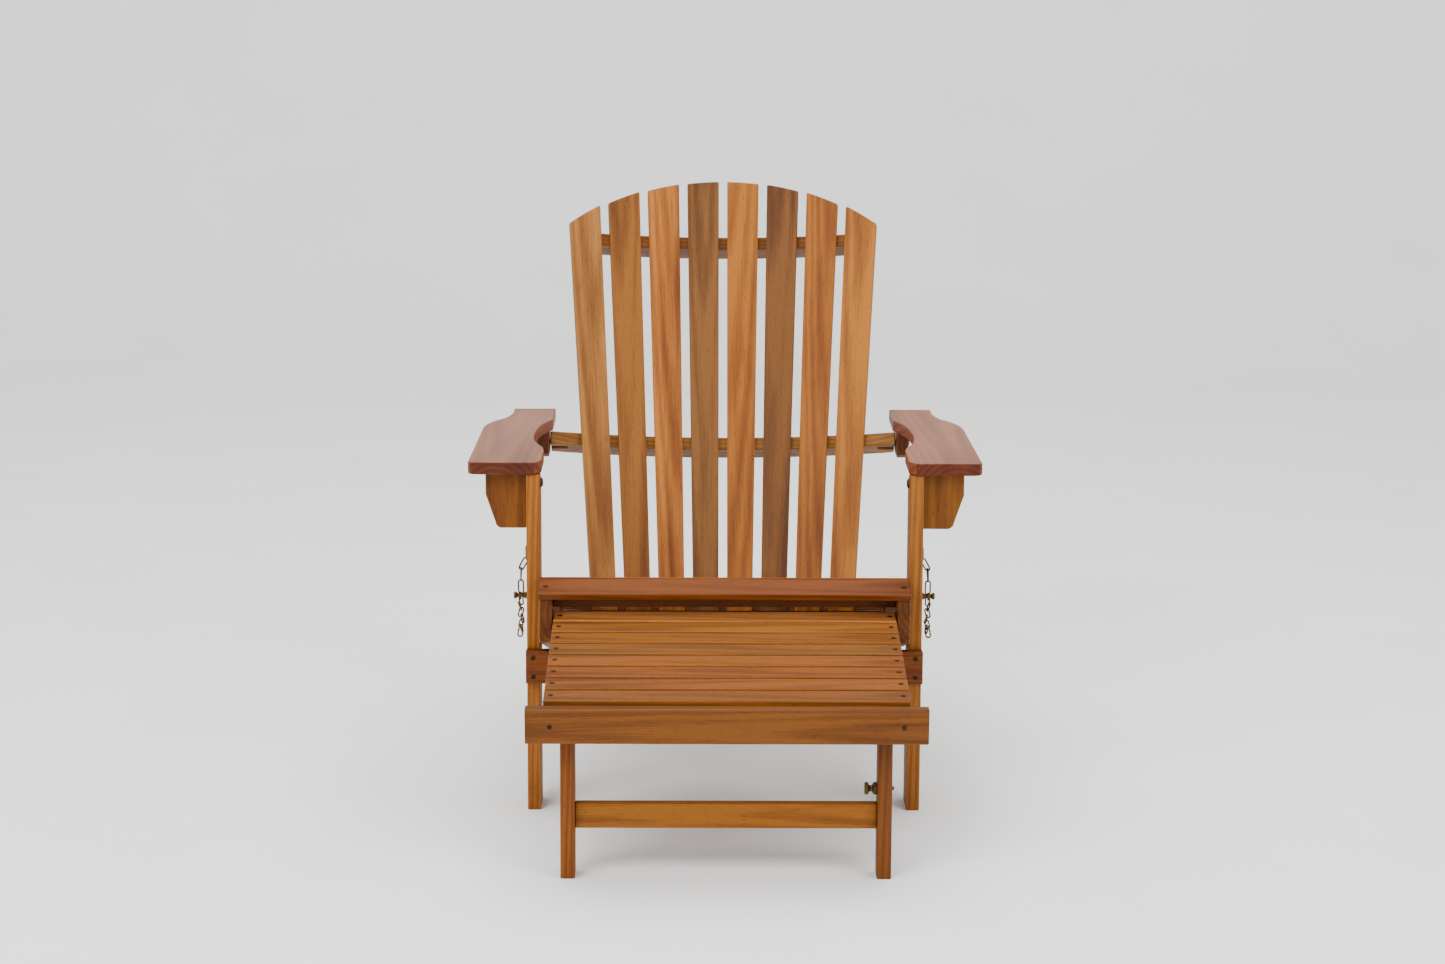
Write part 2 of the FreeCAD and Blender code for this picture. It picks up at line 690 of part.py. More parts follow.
def guide_bolts():
    """A stud on each side, from the side rail's slot into the leg rest's groove, with a
    washer in the space between."""
    place = rest_line(30.0, 31.8)
    start, end = 241.5, 256.5
    washer = [(6.4, 7.6, 8.0)]
    group("rest_guide_bolts", [bolt(world(side * start, *place), vector(side, 0, 0), end - start,
                                    head=False, washers=washer) for side in (-1, 1)])


# ---------------------------------------------------------------- pins and chains

def spool(reach, flange, flange_high, neck, head_high):
    """A pin's profile: its tip, its shank, and a head shaped as a spool of that height."""
    radius = size("pin_radius")
    return [(-reach, radius * 0.6), (-reach + 1.5, radius), (0.0, radius), (0.0, flange),
            (flange_high - 1.0, flange), (flange_high, neck), (head_high - flange_high - 1.0, neck),
            (head_high - flange_high, flange), (head_high - 1.0, flange),
            (head_high, flange - 1.0)]


def lock_pin(label, side):
    """A spool-headed pin through the front leg and the side rail: it is the leg's pivot,
    and pulls out by its head."""
    outer = size("leg_inner_x") + size("leg_thick") + 0.3
    profile = spool(outer - size("side_inner_x"), size("pin_flange_radius"),
                    size("pin_flange_high"), size("pin_neck_radius"), size("pin_head_high"))
    place = world(side * outer, size("leg_depth") / 2, size("lock_z"))
    group(label, [turned(place, vector(side, 0, 0), profile)])


def rest_pin():
    """The leg rest's own pin, parked in one leg with its head on the inside."""
    inner = size("rest_leg_outer_x") - size("rest_leg_thick") - 0.3
    profile = spool(size("rest_leg_thick") + 4.0, size("rest_pin_flange_radius"),
                    size("rest_pin_flange_high"), size("rest_pin_neck_radius"),
                    size("rest_pin_head_high"))
    place = world(inner, size("rest_leg_pivot_y"), size("rest_pin_z"))
    group("rest_pin", [turned(place, vector(-1, 0, 0), profile)])


def link(centre, direction, facing):
    """One oval chain link: two half rings joined by two straight wires."""
    wire, half, bend = size("link_wire"), size("link_long"), size("link_half_width")
    straight = half - bend
    solids = []
    for sign in (-1, 1):
        ring = Part.makeTorus(bend, wire, vector(sign * straight, 0, 0), vector(0, 0, 1),
                              0, 360, 180)
        ring.rotate(vector(sign * straight, 0, 0), vector(0, 0, 1), -90 if sign > 0 else 90)
        solids.append(ring)
        solids.append(Part.makeCylinder(wire, 2 * straight, vector(-straight, sign * bend, 0),
                                        vector(1, 0, 0)))
    whole = solids[0].multiFuse(solids[1:])
    across = vector(*facing)
    across = across - vector(*direction) * across.dot(vector(*direction))
    across.normalize()
    whole.Placement = axes(centre, direction, tuple(across))
    return whole


def tether_chain(label, side):
    """A screw eye in the leg and a chain from it to the lock pin's neck, where the spare
    links hang in a bight."""
    leg_x = size("leg_inner_x") + size("leg_thick")
    y = size("leg_depth") / 2
    reach = leg_x + size("eye_stand_off")
    eye_z, pitch = size("eye_z"), size("link_pitch")
    eye = Part.makeTorus(size("eye_radius"), size("eye_wire"),
                         world(side * reach, y, eye_z), vector(0, 1, 0))
    stem = Part.makeCylinder(size("eye_wire"), size("eye_stand_off") - size("eye_radius"),
                             world(side * leg_x, y, eye_z), vector(side, 0, 0))
    first = eye_z - size("eye_radius") - size("eye_wire") - 7.3
    stations = [(reach + 0.6 + 0.4 * number, first - pitch * number) for number in range(3)]
    hanging = [(reach + 0.8 + 4.4 * spread, size("lock_z") - size("chain_drop") - pitch * row)
               for row in range(3) for spread in (-1, 1)]
    solids = [eye.fuse(stem)]
    flat = [(1, 0, 0), (0, 1, 0)]
    for number, (x, z) in enumerate(stations):
        solids.append(link(world(side * x, y, z), (0, 0, 1), flat[number % 2]))
    for number, (x, z) in enumerate(hanging):
        solids.append(link(world(side * x, y, z), (0, 0, 1), flat[(number // 2 + 1) % 2]))
    group(label, solids)


# ---------------------------------------------------------------- the whole chair

seat()
legs()
arm(-1, "right")
arm(1, "left")
back()
leg_rest()
rest_legs()
guide_bolts()
mirrored_pair("lock_pin", lock_pin)
rest_pin()
mirrored_pair("tether_chain", tether_chain)
doc.recompute()

for item in doc.Objects:
    if "Invalid" in item.State or "Error" in item.State:
        raise RuntimeError(item.Label + " did not compute")
for node in NODES:
    if node.Shape.isNull() or not node.Shape.isValid():
        raise RuntimeError(node.Label + " has no valid shape")

os.makedirs("parts", exist_ok=True)
for node in NODES:
    node.Shape.exportStep("parts/" + node.Label + ".step")

box = FreeCAD.BoundBox()
for node in NODES:
    box.add(node.Shape.BoundBox)
print("nodes", len(NODES))
print("x %.1f to %.1f, y %.1f to %.1f, z %.1f to %.1f"
      % (box.XMin, box.XMax, box.YMin, box.YMax, box.ZMin, box.ZMax))
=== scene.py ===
"""A folding garden armchair with a fanned slatted back and a pull-out leg rest.

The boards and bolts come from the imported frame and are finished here; the screw heads, the locking
pins and their chains are surfaces worked out from formulas. Lengths are in metres.
"""

import math

import bpy
import numpy as np
from mathutils import Matrix, Vector


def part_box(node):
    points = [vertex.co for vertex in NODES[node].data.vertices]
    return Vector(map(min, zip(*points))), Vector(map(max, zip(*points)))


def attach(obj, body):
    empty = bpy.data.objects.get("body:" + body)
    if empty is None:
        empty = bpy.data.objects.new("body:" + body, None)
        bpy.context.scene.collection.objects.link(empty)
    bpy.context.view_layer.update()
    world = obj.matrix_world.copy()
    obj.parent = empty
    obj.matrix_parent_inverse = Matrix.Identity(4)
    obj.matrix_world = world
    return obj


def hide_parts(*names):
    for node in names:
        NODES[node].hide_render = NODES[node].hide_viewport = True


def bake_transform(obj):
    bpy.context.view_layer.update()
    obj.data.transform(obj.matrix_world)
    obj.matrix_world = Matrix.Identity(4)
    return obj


bl_info = {
    "name": "Folding garden armchair",
    "version": (1, 0, 0),
    "blender": (4, 5, 0),
    "location": "View3D > Sidebar > Chair",
    "description": "Finishes a folding garden armchair in oiled acacia with brass fittings",
    "category": "Object",
}

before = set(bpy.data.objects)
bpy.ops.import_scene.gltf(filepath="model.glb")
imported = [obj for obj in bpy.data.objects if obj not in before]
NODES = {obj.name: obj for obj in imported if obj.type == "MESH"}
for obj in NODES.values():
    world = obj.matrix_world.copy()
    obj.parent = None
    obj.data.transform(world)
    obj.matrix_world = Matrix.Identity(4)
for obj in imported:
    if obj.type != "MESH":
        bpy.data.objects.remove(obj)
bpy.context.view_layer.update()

# Each board's colour, the spacing of its growth rings in mm, how far the middle of the tree lies
# from the board's middle and from its middle line in mm, and the share of dark streaks.
# The shared darkest colour #5e3212 of the braces, the arm cleats and the back's lower rail is
# painted shade, for where they sit in shade under the seat, the arms and the back.
BOARDS = {
    "back_slat_1": ("#845321", 7, 60, 14, 0.25),
    "back_slat_2": ("#714212", 9, 26, -6, 0.10),
    "back_slat_3": ("#8f531a", 6, 70, 24, 0.75),
    "back_slat_4": ("#623c17", 8, 22, 5, 0.45),
    "back_slat_5": ("#854c11", 6, 90, -30, 0.35),
    "back_slat_6": ("#5b3511", 10, 30, -12, 0.40),
    "back_slat_7": ("#7e460f", 6, 48, 20, 0.45),
    "back_slat_8": ("#8a5114", 9, 34, 8, 0.12),
    "back_top_batten": ("#6b3b0a", 6, 55, 9, 0.4),
    "back_arm_rail": ("#764a17", 7, 48, -12, 0.4),
    "back_lower_rail": ("#5e3212", 7, 51, 10, 0.4),
    "seat_nose_slat": ("#5e2d05", 9, 30, 5, 0.3),
    "seat_slat_1": ("#6b3808", 8, 44, -8, 0.3),
    "seat_slat_2": ("#7c4612", 6, 39, 12, 0.4),
    "seat_slat_3": ("#673c10", 9, 28, -4, 0.3),
    "seat_slat_4": ("#6b3808", 7, 60, 16, 0.4),
    "seat_slat_5": ("#7c4612", 8, 35, 6, 0.3),
    "seat_front_brace": ("#5e3212", 8, 40, -9, 0.5),
    "seat_rear_brace": ("#5e3212", 7, 50, 7, 0.4),
    "side_rail_left": ("#6d3f10", 8, 42, 10, 0.4),
    "side_rail_right": ("#75450f", 9, 38, -14, 0.4),
    "front_leg_left": ("#794714", 8, 55, 11, 0.3),
    "front_leg_right": ("#834c15", 7, 47, -8, 0.3),
    "front_crossbar": ("#5e2e07", 7, 33, 8, 0.4),
    "arm_left": ("#70361d", 8, 40, 15, 0.12),
    "arm_right": ("#6a361e", 9, 32, -10, 0.12),
    "arm_bracket_left": ("#693c08", 8, 44, 9, 0.2),
    "arm_bracket_right": ("#673807", 7, 52, -11, 0.2),
    "arm_cleat_left": ("#5e3212", 7, 36, 6, 0.3),
    "arm_cleat_right": ("#5e3212", 8, 41, -7, 0.3),
    "rest_rail_left": ("#6a3909", 8, 45, 10, 0.4),
    "rest_rail_right": ("#6a3909", 7, 39, -9, 0.4),
    "rest_slat_1": ("#935927", 7, 38, 7, 0.3),
    "rest_slat_2": ("#784616", 8, 50, -11, 0.2),
    "rest_slat_3": ("#6e3d09", 6, 34, 8, 0.3),
    "rest_slat_4": ("#683d0d", 8, 44, 12, 0.4),
    "rest_slat_5": ("#713c09", 9, 30, -5, 0.2),
    "rest_slat_6": ("#6c3809", 7, 47, 9, 0.3),
    "rest_slat_7": ("#6f3b08", 6, 56, -13, 0.25),
    "rest_slat_8": ("#633608", 8, 36, 6, 0.3),
    "rest_front_board": ("#5c3207", 9, 29, -7, 0.3),
    "rest_rear_brace": ("#5e3212", 7, 43, 8, 0.4),
    "rest_leg_left": ("#582d07", 8, 46, 9, 0.3),
    "rest_leg_right": ("#673607", 7, 40, -10, 0.3),
    "rest_leg_bar": ("#6e3e09", 8, 33, 6, 0.3),
}
# The arms' upward faces are drawn paler: weathering and a painted sheen of the light from above.
SHEENED_AND_WEATHERED = ("arm_left", "arm_right")

# The chain's links, those below the eye and those by the pin: place out from the leg, to the rear
# and up from the eye or the pin, lean outwards and to the rear, turn in degrees (0 shows the
# edge), half length and half width.
EYE_LINKS = (
    (0.0017, 0.0000, -0.0080, 0.00, 0.00, 4, 0.0060, 0.0028),
    (0.0058, 0.0002, -0.0208, -0.55, 0.05, 78, 0.0098, 0.0034),
    (0.0096, 0.0000, -0.0364, -0.04, 0.00, 6, 0.0096, 0.0032),
)
PIN_LINKS = (
    (0.0098, 0.0000, 0.0128, 0.02, 0.00, 88, 0.0100, 0.0036),
    (0.0094, -0.0030, -0.0066, 0.10, 0.06, 60, 0.0070, 0.0032),
    (0.0112, -0.0006, -0.0162, 0.30, 0.05, 20, 0.0064, 0.0030),
    (0.0100, 0.0004, -0.0256, -0.26, 0.06, 74, 0.0068, 0.0031),
    (0.0080, -0.0004, -0.0345, 0.24, -0.05, -24, 0.0064, 0.0030),
    (0.0098, 0.0006, -0.0420, -0.30, 0.05, 66, 0.0064, 0.0030),
    (0.0088, 0.0000, -0.0500, 0.16, -0.06, 30, 0.0062, 0.0030),
    (0.0110, 0.0004, -0.0555, -0.14, 0.04, 82, 0.0066, 0.0034),
)

# A board's darkest and lightest wood, as shares of the red, green, blue and alpha of its colour.
DARK_SHARE, LIGHT_SHARE = (0.6, 0.52, 0.46, 1), (1.3, 1.36, 1.42, 1)
GRAIN_LEAN = math.radians(1.4)      # between the grain and the board's long edges

# The points round a chain link, round a plain ring and round their wire.
LINK_STEPS, RING_STEPS, WIRE_STEPS = 28, 32, 8


def unit(x, y, z):
    """A direction of length one: the given one over its length."""
    way = np.array([x, y, z], float)
    return way / np.linalg.norm(way)


# The tilts of the seat, the back and the leg rest, and the ways that the screws in them face.
SEAT_TILT, BACK_TILT, REST_TILT = math.radians(19), math.radians(25), math.radians(6)
OUTWARD = {
    "+x": unit(1, 0, 0),
    "-x": unit(-1, 0, 0),
    "front": unit(0, -1, 0),
    "seat": unit(0, math.sin(SEAT_TILT), math.cos(SEAT_TILT)),
    "back": unit(0, math.cos(BACK_TILT), -math.sin(BACK_TILT)),
    "rest": unit(0, -math.sin(REST_TILT), math.cos(REST_TILT)),
    "rest_front": unit(0, -math.cos(REST_TILT), -math.sin(REST_TILT)),
}


# ---------------------------------------------------------------- settings

class CHAIR_PG_finish(bpy.types.PropertyGroup):
    """The look of the wood and the metal."""

    brass: bpy.props.StringProperty(
        name="Brass", description="Colour of the pins and chains", default="#6e5736")
    screw: bpy.props.StringProperty(
        name="Screws", description="Colour of the plated screws", default="#4f3d28")
    bolt: bpy.props.StringProperty(
        name="Bolts", description="Colour of the bolt heads", default="#6a4a2e")
    # How pale the arms' tops are drawn: weathering and a painted sheen of the light from above.
    haze_and_sheen: bpy.props.FloatProperty(
        name="Weathering", description="How far the arms' tops have gone pale", default=0.22,
        min=0.0, max=1.0, subtype="FACTOR")


class CHAIR_PG_fittings(bpy.types.PropertyGroup):
    """The sizes of the metal fittings."""

    screw_radius: bpy.props.FloatProperty(
        name="Screw head", description="Radius of a screw head", default=0.0038, unit="LENGTH")
    wire: bpy.props.FloatProperty(
        name="Chain wire", description="Radius of the chain's wire", default=0.0012,
        unit="LENGTH")
    knurls: bpy.props.IntProperty(
        name="Knurls", description="Ridges round a pin's flange", default=24, min=8)


# ---------------------------------------------------------------- materials

def linear(code):
    """An sRGB hex code as linear red, green, blue and alpha."""
    parts = [int(code[i:i + 2], 16) / 255 for i in (1, 3, 5)]
    return [p / 12.92 if p <= 0.04045 else ((p + 0.055) / 1.055) ** 2.4 for p in parts] + [1.0]


def add(tree, kind, settings=None, values=None, links=None, stops=()):
    """Adds a node: its settings are attributes, its values go on its inputs, its links are other
    nodes' outputs for its inputs, by name or number, and a colour ramp's stops are each a place
    and a linear colour."""
    node = tree.nodes.new("ShaderNode" + kind)
    for key, value in (settings or {}).items():
        setattr(node, key, value)
    for key, value in (values or {}).items():
        node.inputs[key].default_value = value
    for key, output in (links or {}).items():
        tree.links.new(output, node.inputs[key])
    while stops and len(node.color_ramp.elements) < len(stops):
        node.color_ramp.elements.new(0.5)
    for number, (place, colour) in enumerate(stops):
        node.color_ramp.elements[number].position = place
        node.color_ramp.elements[number].color = colour
    return node


def new_material(name):
    """An empty material and its surface shader."""
    material = bpy.data.materials.new(name)
    material.use_nodes = True
    tree = material.node_tree
    tree.nodes.clear()
    shader = add(tree, "BsdfPrincipled")
    add(tree, "OutputMaterial", links={"Surface": shader.outputs[0]})
    return material, tree, shader


def corners(node):
    """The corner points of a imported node, a row each."""
    mesh = NODES[node].data
    points = np.empty(len(mesh.vertices) * 3)
    mesh.vertices.foreach_get("co", points)
    return points.reshape(-1, 3)


def board_axes(name):
    """A board's middle, and its width, thickness and length directions as a turn: its corners
    spread out most along the length, less along the width, and the thickness is square to both."""
    points = corners(name)
    middle = (points.max(0) + points.min(0)) / 2
    spread = np.linalg.svd(points - points.mean(0), full_matrices=False)[2]
    length, width = (row * np.sign(row[np.abs(row).argmax()]) for row in spread[:2])
    turn = Matrix(np.stack([width, np.cross(length, width), length], axis=1).tolist())
    return middle, turn


def oiled_acacia(name, code, rings, depth, aside, streak_share, weathering_and_sheen=0.0):
    """Planed acacia under a thin coat of oil: growth rings of a tree whose middle lies that deep
    below the board's own middle and that far aside, in mm, drawn out along the board, with fine
    fibres, dark pores and heartwood streaks, darker end grain and a satin sheen."""
    material, tree, shader = new_material("Oiled acacia, " + name.replace("_", " "))
    colour = np.array(linear(code))
    dark, light = colour * DARK_SHARE, colour * LIGHT_SHARE
    centre, turn = board_axes(name)
    tree_axis = turn @ Matrix.Rotation(GRAIN_LEAN, 3, "X")
    pith = centre + np.array(turn)[:, :2] @ (aside / 1000, depth / 1000)
    place = add(tree, "TexCoord")
    # Places measured from the tree's middle, for patterns so many times longer than wide.
    grain, fibre, pore = (
        add(tree, "Mapping", {"vector_type": "TEXTURE"},
            {"Location": pith, "Rotation": tree_axis.to_euler(), "Scale": (1, 1, stretch)},
            {"Vector": place.outputs["Object"]}).outputs[0] for stretch in (9, 38, 14))

    # A wave has 20 radians to the unit, so its scale is 2 pi / 20 over the spacing in metres.
    growth = add(tree, "TexWave", {"wave_type": "RINGS", "rings_direction": "Z"},
                 {"Scale": 314.0 / rings, "Distortion": 4.0, "Detail": 2.0,
                  "Detail Scale": 0.35}, {"Vector": grain})
    # 60 mm wide clouds, 2.2 mm fibres, 1 mm pores (drawn wider than the real 0.3 mm so that they
    # show) and 22 mm heartwood streaks.
    cloud = add(tree, "TexNoise", None, {"Scale": 17.0, "Detail": 2.0}, {"Vector": grain})
    fibres = add(tree, "TexNoise", None, {"Scale": 450.0, "Detail": 3.0, "Roughness": 0.62},
                 {"Vector": fibre})
    pores = add(tree, "TexNoise", None, {"Scale": 1000.0, "Detail": 1.0}, {"Vector": pore})
    streaks = add(tree, "TexNoise", None, {"Scale": 46.0, "Detail": 4.0, "Roughness": 0.55},
                  {"Vector": fibre})

    tint = add(tree, "Math", {"operation": "MULTIPLY_ADD"}, {1: 0.2},
               {0: growth.outputs[1], 2: cloud.outputs[0]})
    tint = add(tree, "Math", {"operation": "MULTIPLY_ADD"}, {1: 0.55},
               {0: fibres.outputs[0], 2: tint.outputs[0]})
    colour = add(tree, "ValToRGB", links={0: tint.outputs[0]},
                 stops=[(0.63, dark), (0.875, colour), (1.0, light)]).outputs[0]

    # How far the surface faces along the board's width, thickness and length.
    across, through, endways = (
        add(tree, "VectorMath", {"operation": "DOT_PRODUCT"}, {1: way},
            {0: place.outputs["Normal"]}).outputs[1] for way in turn.col)

    # The rounded long edges, which face between the width and the thickness, carry a painted
    # highlight: they are drawn lighter where they catch the light.
    corner = add(tree, "Math", {"operation": "MULTIPLY"}, None, {0: across, 1: through})
    corner = add(tree, "Math", {"operation": "ABSOLUTE"}, None, {0: corner.outputs[0]})
    edge_highlight = add(tree, "MapRange", None, {"From Min": 0.1, "From Max": 0.4, "To Max": 0.6},
                 {"Value": corner.outputs[0]})
    colour = add(tree, "Mix", {"data_type": "RGBA"}, {7: light},
                 {0: edge_highlight.outputs[0], 6: colour}).outputs[2]

    # Streaks fall where their noise is high, pores where theirs is, and end grain where the
    # surface faces along the board.
    start = 0.66 - 0.18 * streak_share
    endways = add(tree, "Math", {"operation": "ABSOLUTE"}, None, {0: endways})
    for source, low, high, amount, shade in (
            (streaks.outputs[0], start, start + 0.14, 0.35 + 0.35 * streak_share, "#8a6a55"),
            (pores.outputs[0], 0.62, 0.72, 0.45, "#7d6350"),
            (endways.outputs[0], 0.6, 0.9, 0.8, "#a58b78")):
        mask = add(tree, "MapRange", None, {"From Min": low, "From Max": high, "To Max": amount},
                   {"Value": source})
        colour = add(tree, "Mix", {"data_type": "RGBA", "blend_type": "MULTIPLY"},
                     {7: linear(shade)}, {0: mask.outputs[0], 6: colour}).outputs[2]
    if weathering_and_sheen:
        # Sun and rain have turned the top of the board paler and greyer in soft patches; the paler
        # upward faces are also a painted sheen of the light from above.
        up = add(tree, "VectorMath", {"operation": "DOT_PRODUCT"}, {1: (0, 0, 1)},
                 {0: place.outputs["Normal"]})
        upward = add(tree, "MapRange", None, {"From Min": 0.7, "To Max": weathering_and_sheen},
                     {"Value": up.outputs[1]})
        patch = add(tree, "MapRange", None, {"From Min": 0.3, "From Max": 0.7, "To Min": 0.55},
                    {"Value": cloud.outputs[0]})
        amount = add(tree, "Math", {"operation": "MULTIPLY"}, None,
                     {0: upward.outputs[0], 1: patch.outputs[0]})
        colour = add(tree, "Mix", {"data_type": "RGBA"}, {7: linear("#b89880")},
                     {0: amount.outputs[0], 6: colour}).outputs[2]
    tree.links.new(colour, shader.inputs["Base Color"])
    shader.inputs["Specular IOR Level"].default_value = 0.16

    sheen = add(tree, "MapRange", None, {"To Min": 0.42, "To Max": 0.64},
                {"Value": fibres.outputs[0]})
    tree.links.new(sheen.outputs[0], shader.inputs["Roughness"])
    relief = add(tree, "Math", {"operation": "SUBTRACT"}, None,
                 {0: fibres.outputs[0], 1: pores.outputs[0]})
    bump = add(tree, "Bump", None, {"Strength": 0.35, "Distance": 0.0004},
               {"Height": relief.outputs[0]})
    tree.links.new(bump.outputs[0], shader.inputs["Normal"])
    return material


def plated_metal(name, code, dull, roughness, grain_mm):
    """Metal under a thin yellow plating that has dulled in patches: the bright colour where it
    was handled, the dull one elsewhere, with a fine uneven surface."""
    material, tree, shader = new_material(name)
    shader.inputs["Metallic"].default_value = 1.0
    place = add(tree, "TexCoord")
    patches = add(tree, "TexNoise", None, {"Scale": 1000.0 / grain_mm, "Detail": 4.0},
                  {"Vector": place.outputs["Object"]})
    ramp = add(tree, "ValToRGB", links={0: patches.outputs[0]},
               stops=[(0.35, linear(dull)), (0.62, linear(code))])
    tree.links.new(ramp.outputs[0], shader.inputs["Base Color"])
    rough = add(tree, "MapRange", None, {"To Min": roughness - 0.12, "To Max": roughness + 0.18},
                {"Value": patches.outputs[0]})
    tree.links.new(rough.outputs[0], shader.inputs["Roughness"])
    bump = add(tree, "Bump", None, {"Strength": 0.3, "Distance": 0.0001},
               {"Height": patches.outputs[0]})
    tree.links.new(bump.outputs[0], shader.inputs["Normal"])
    return material


def painted_floor():
    """A matt painted studio floor: nearly white, with a faint uneven roughness."""
    material, tree, shader = new_material("Matt white painted floor")
    place = add(tree, "TexCoord")
    mottle = add(tree, "TexNoise", None, {"Scale": 3.0, "Detail": 3.0},
                 {"Vector": place.outputs["Object"]})
    ramp = add(tree, "ValToRGB", links={0: mottle.outputs[0]},
               stops=[(0.3, linear("#f4f4f3")), (0.7, linear("#f8f8f7"))])
    tree.links.new(ramp.outputs[0], shader.inputs["Base Color"])
    rough = add(tree, "MapRange", None, {"To Min": 0.75, "To Max": 0.9},
                {"Value": mottle.outputs[0]})
    tree.links.new(rough.outputs[0], shader.inputs["Roughness"])
    return material


# ---------------------------------------------------------------- surfaces

def grid_faces(rows, columns, closed_rows=False):
    """The quads of a grid whose columns close on themselves, and its rows too where asked."""
    r, c = np.meshgrid(np.arange(rows if closed_rows else rows - 1), np.arange(columns),
                       indexing="ij")
    after, beside = (r + 1) % rows, (c + 1) % columns
    quads = np.stack([r * columns + c, r * columns + beside, after * columns + beside,
                      after * columns + c], axis=-1)
    return quads.reshape(-1, 4)


def build(name, points, faces, material, body, slot, smooth):
    """Makes a piece from points and quads, in place, with its faces pointing outwards and its
    edges smooth up to that angle in degrees."""
    mesh = bpy.data.meshes.new(name)
    mesh.from_pydata(points.reshape(-1, 3).tolist(), [], faces.tolist())
    mesh.validate()
    mesh.materials.append(material)
    piece = bpy.data.objects.new(name, mesh)
    bpy.context.scene.collection.objects.link(piece)
    bpy.ops.object.select_all(action="DESELECT")
    bpy.context.view_layer.objects.active = piece
    piece.select_set(True)
    bpy.ops.object.mode_set(mode="EDIT")
    bpy.ops.mesh.select_all(action="SELECT")
    bpy.ops.mesh.remove_doubles(threshold=5e-6)
    bpy.ops.mesh.normals_make_consistent(inside=False)
    bpy.ops.object.mode_set(mode="OBJECT")
    bpy.ops.object.shade_smooth_by_angle(angle=math.radians(smooth))
    piece.select_set(False)
    if body:
        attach(piece, body)
    return piece


def frames(directions):
    """Two directions at right angles to each of the given ones, as arrays."""
    directions = directions / np.linalg.norm(directions, axis=-1, keepdims=True)
    helper = np.where(np.abs(directions[..., :1]) > 0.8, [0.0, 0.0, 1.0], [1.0, 0.0, 0.0])
    first = np.cross(directions, helper)
    first /= np.linalg.norm(first, axis=-1, keepdims=True)
    return first, np.cross(directions, first)


def turned_piece(origins, directions, profile, columns, change=None):
    """Turned pieces, one on each origin: the profile's (distance, radius) points are carried
    round the direction, so a point is the origin + distance along it + radius * (cosine,
    sine) across it. change(distance, radius, angle) may give each point new ones."""
    origins, directions = np.atleast_2d(origins), np.atleast_2d(directions)
    first, second = frames(directions)
    angle = np.arange(columns) * 2 * np.pi / columns
    distance, radius = (np.repeat(np.array(column)[:, None], columns, axis=1)
                        for column in zip(*profile))
    if change:
        distance, radius = change(distance, radius, angle[None, :])
    points = (origins[:, None, None] + distance[None, :, :, None] * directions[:, None, None]
              + (radius * np.cos(angle))[None, :, :, None] * first[:, None, None]
              + (radius * np.sin(angle))[None, :, :, None] * second[:, None, None])
    one = grid_faces(len(profile), columns)
    step = len(profile) * columns
    faces = (one[None] + np.arange(len(origins))[:, None, None] * step).reshape(-1, 4)
    return points, faces


def tubes(centrelines, normals, radius):
    """Closed wires: a circle of that radius carried round each closed centreline, whose circle
    at every point spans the line's own normal and the direction square to it and the line."""
    ahead = np.roll(centrelines, -1, axis=1) - np.roll(centrelines, 1, axis=1)
    ahead /= np.linalg.norm(ahead, axis=-1, keepdims=True)
    normals = np.broadcast_to(normals[:, None], centrelines.shape)
    side = np.cross(ahead, normals)
    angle = np.arange(WIRE_STEPS) * 2 * np.pi / WIRE_STEPS
    points = (centrelines[:, :, None] + radius * np.cos(angle)[None, None, :, None]
              * normals[:, :, None] + radius * np.sin(angle)[None, None, :, None]
              * side[:, :, None])
    rows = centrelines.shape[1]
    one = grid_faces(rows, WIRE_STEPS, closed_rows=True)
    faces = one[None] + np.arange(len(centrelines))[:, None, None] * rows * WIRE_STEPS
    return points, faces.reshape(-1, 4)


def chain_links(centres, long_ways, across_ways, half, width):
    """The centrelines of oval links: a point at angle a is the middle + long way * (half -
    width) * a squared-off cosine + width * (cosine, sine), which gives two half circles
    joined by straight wires; each is a little twisted, as bent wire is."""
    angle = np.arange(LINK_STEPS) * 2 * np.pi / LINK_STEPS
    straight = (half - width) * np.clip(np.cos(angle) * 3.0, -1, 1)
    along = straight + width * np.cos(angle)
    across = width * np.sin(angle)
    twist = 0.00035 * np.sin(2 * angle)
    out = np.cross(long_ways, across_ways)
    return (centres[:, None] + along[:, :, None] * long_ways[:, None]
            + across[:, :, None] * across_ways[:, None] + twist[None, :, None] * out[:, None])


def ring(middle, half_wide, half_high):
    """The centreline of an upright ring across x: the middle + half the width * the cosine to
    the rear + half the height * the sine upwards."""
    angle = np.arange(RING_STEPS) * 2 * np.pi / RING_STEPS
    return np.stack([np.full(RING_STEPS, middle[0]), middle[1] + half_wide * np.cos(angle),
                     middle[2] + half_high * np.sin(angle)], axis=1)


def joined(*surfaces):
    """Several surfaces' points and quads as one: each one's quads count on from the points of
    those before it."""
    points = [points.reshape(-1, 3) for points, _ in surfaces]
    starts = np.cumsum([0] + [len(some) for some in points])
    faces = [quads + start for (_, quads), start in zip(surfaces, starts)]
    return np.concatenate(points), np.concatenate(faces)


def heads_in(node):
    """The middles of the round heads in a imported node: its points are gathered into clumps that
    reach as far as a head is wide, and the narrow clumps are shank ends."""
    points = np.unique(corners(node).round(6), axis=0)
    head_reach, shank_width = 0.0095, 0.0062
    found = []
    while len(points):
        near = np.linalg.norm(points - points[0], axis=1) < head_reach
        clump = points[near]
        if np.ptp(clump, axis=0).max() > shank_width:
            found.append((clump.max(0) + clump.min(0)) / 2)
        points = points[~near]
    return np.array(found)


def cross_recess(distance, radius, angle):
    """A screw head's cross-shaped recess: where the sine of twice the angle is near nought, the
    points inside the cross's reach are lowered."""
    reach, deep = 0.0025, 0.0011
    inside = (np.abs(np.sin(2 * angle)) < 0.3) & (radius < reach)
    return np.where(inside, distance - deep, distance), radius


